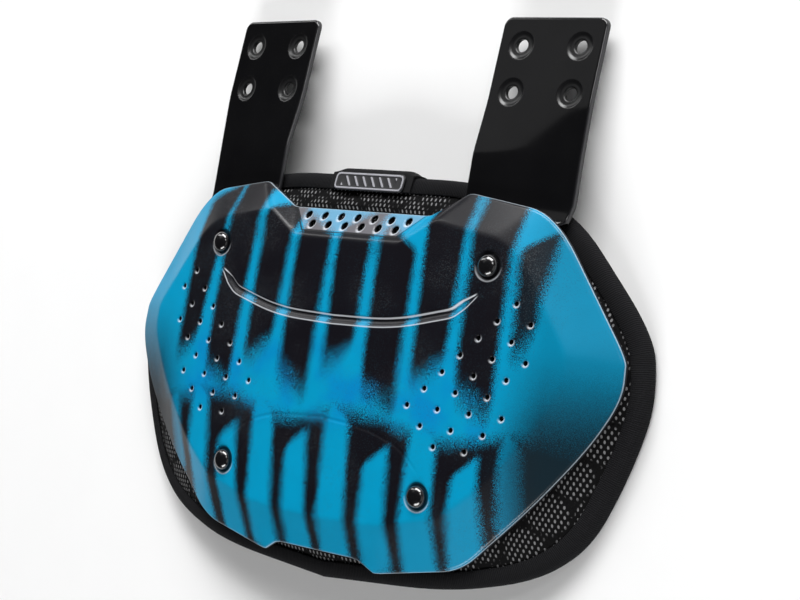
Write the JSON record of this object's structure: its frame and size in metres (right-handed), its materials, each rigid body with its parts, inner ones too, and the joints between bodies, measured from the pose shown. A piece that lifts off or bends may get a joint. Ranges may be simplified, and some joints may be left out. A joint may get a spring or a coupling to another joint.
{
  "type": "football back plate",
  "caption": "Moulded plastic back plate on a bowed foam pad, with two bolt-on straps to hang it from shoulder pads.",
  "frame": {"origin": "bottom centre of the box: the plate lies on the padded side's long edges with the shell up", "axes": "+X across the plate, +Y up the straps, +Z out through the shell"},
  "size_m": [0.364, 0.309, 0.044],
  "materials": {
    "shell": "clear-coated plastic with a sprayed streak design",
    "pad_cover": "black spacer mesh",
    "binding": "ribbed woven edging",
    "label_cloth": "plain woven cloth",
    "label_patch": "moulded patch with a grained surface",
    "strap": "glossy black",
    "rivet": "glossy black domes"
  },
  "bodies": {
    "root": {"shell": "shell", "pad": "pad_cover", "binding": "binding", "label_tab": "label_cloth", "label_patch": "label_patch", "strap_left": "strap", "strap_right": "strap", "rivet_upper_left": "rivet", "rivet_upper_right": "rivet", "rivet_lower_left": "rivet", "rivet_lower_right": "rivet"}
  },
  "joints": []
}
